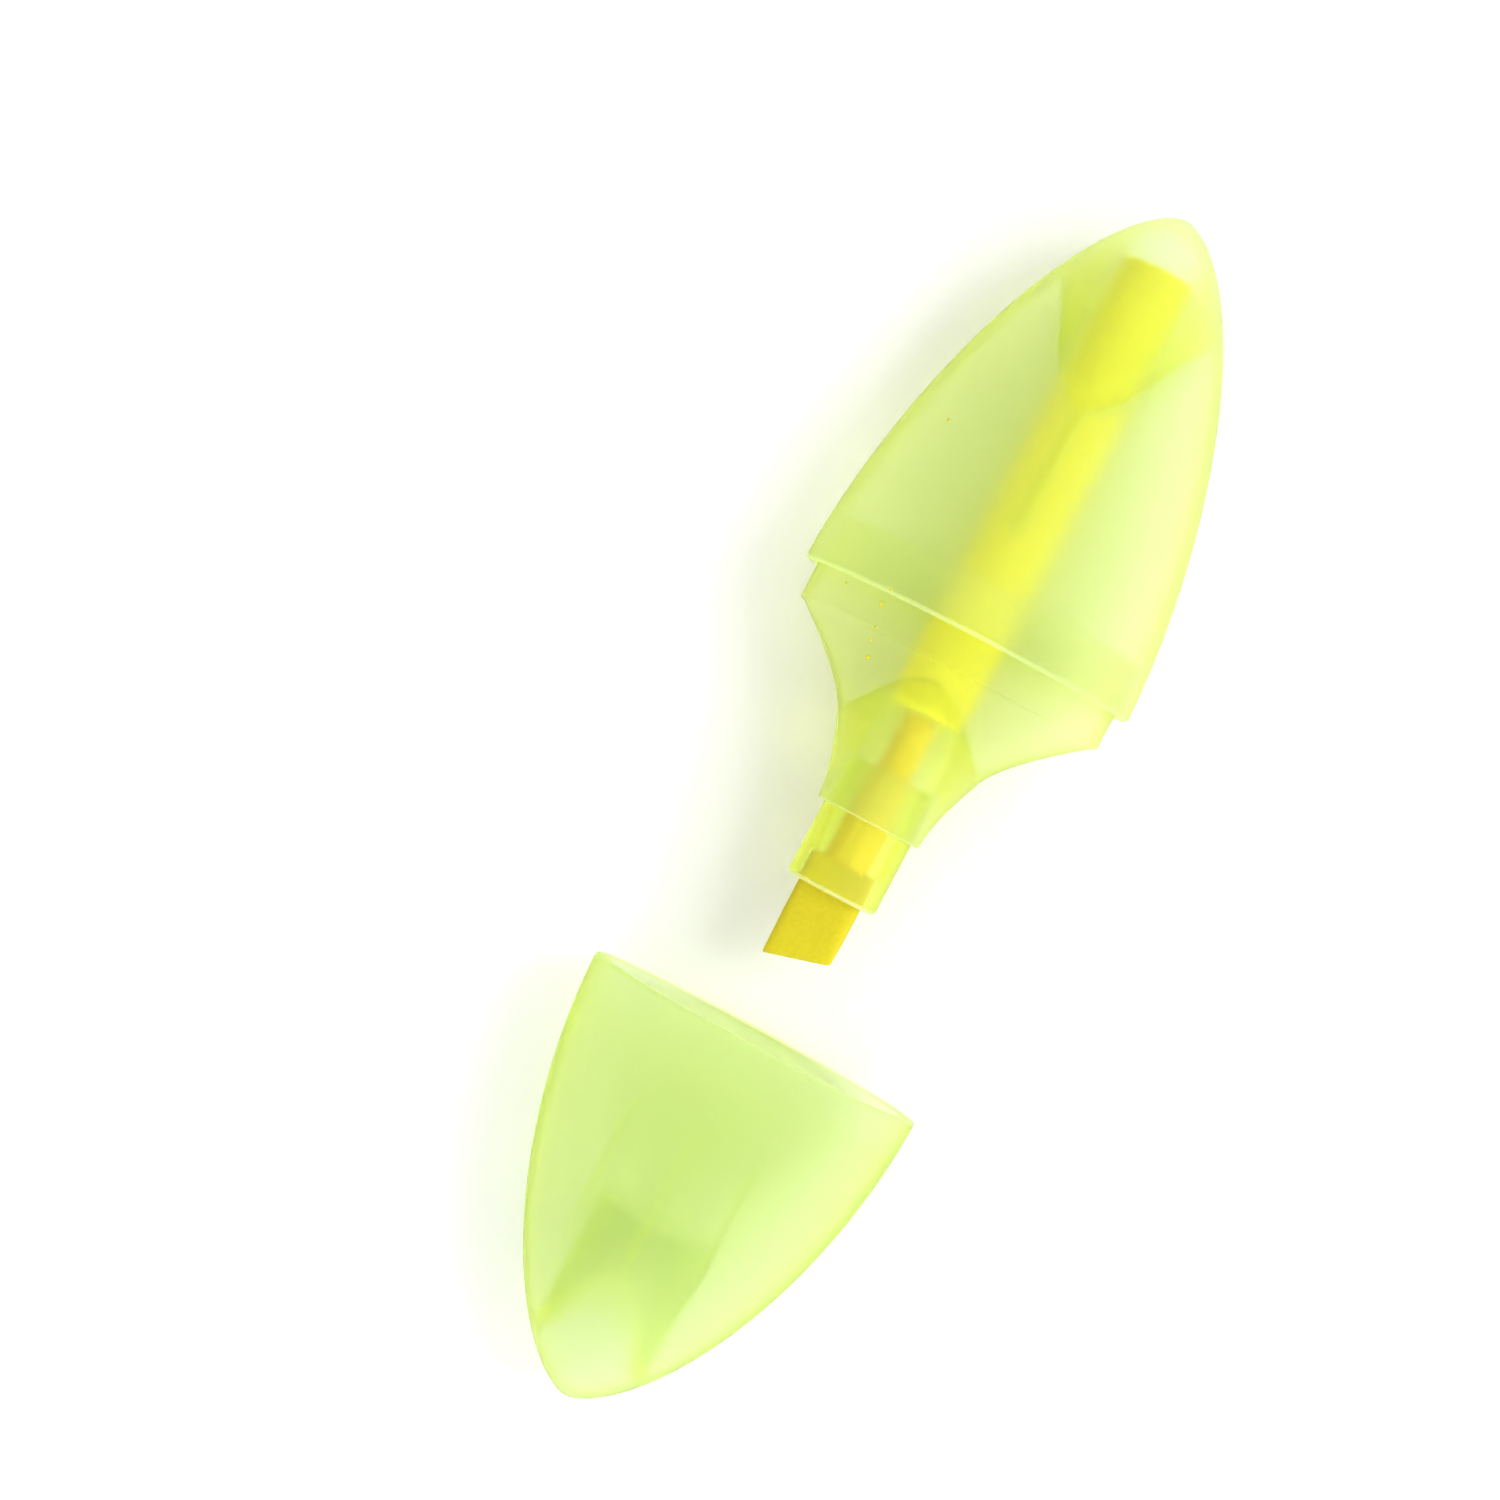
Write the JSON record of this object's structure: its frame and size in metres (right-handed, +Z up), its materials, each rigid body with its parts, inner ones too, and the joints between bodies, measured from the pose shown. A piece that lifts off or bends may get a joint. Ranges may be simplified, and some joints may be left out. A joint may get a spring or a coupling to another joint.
{
  "type": "highlighter pen",
  "caption": "Oval egg-shaped highlighter in frosted yellow-green plastic with a chisel felt nib, its pull-off cap lying in line in front of it.",
  "frame": {"origin": "bottom centre of the bounding box of the pen and its pulled-off cap, on the surface they lie on", "axes": "+X along the pen from the cap and nib towards the closed end of the barrel, +Y across its broad side, +Z up, the thin direction"},
  "size_m": [0.1094, 0.0298, 0.0169],
  "materials": {
    "barrel_plastic": "frosted translucent yellow-green, lightly blasted",
    "section_plastic": "frosted translucent yellow-green",
    "ferrule_plastic": "frosted translucent yellow-green, smoother",
    "cap_plastic": "frosted translucent green, lightly blasted",
    "nib_felt": "pressed polyester felt soaked with yellow ink",
    "reservoir_fibre": "bonded polyester fibre soaked with yellow ink",
    "film": "thin clear film, wet inside"
  },
  "bodies": {
    "pen": {"barrel": "barrel_plastic", "grip_section": "section_plastic", "nib_ferrule": "ferrule_plastic", "nib": "nib_felt", "ink_reservoir": "reservoir_fibre", "reservoir_film": "film"},
    "cap": {"cap": "cap_plastic"}
  },
  "joints": [
    {"name": "cap_slide", "type": "slide", "parent": "pen", "child": "cap", "axis": [1, 0, 0], "range_m": [0, 0.0367]}
  ]
}
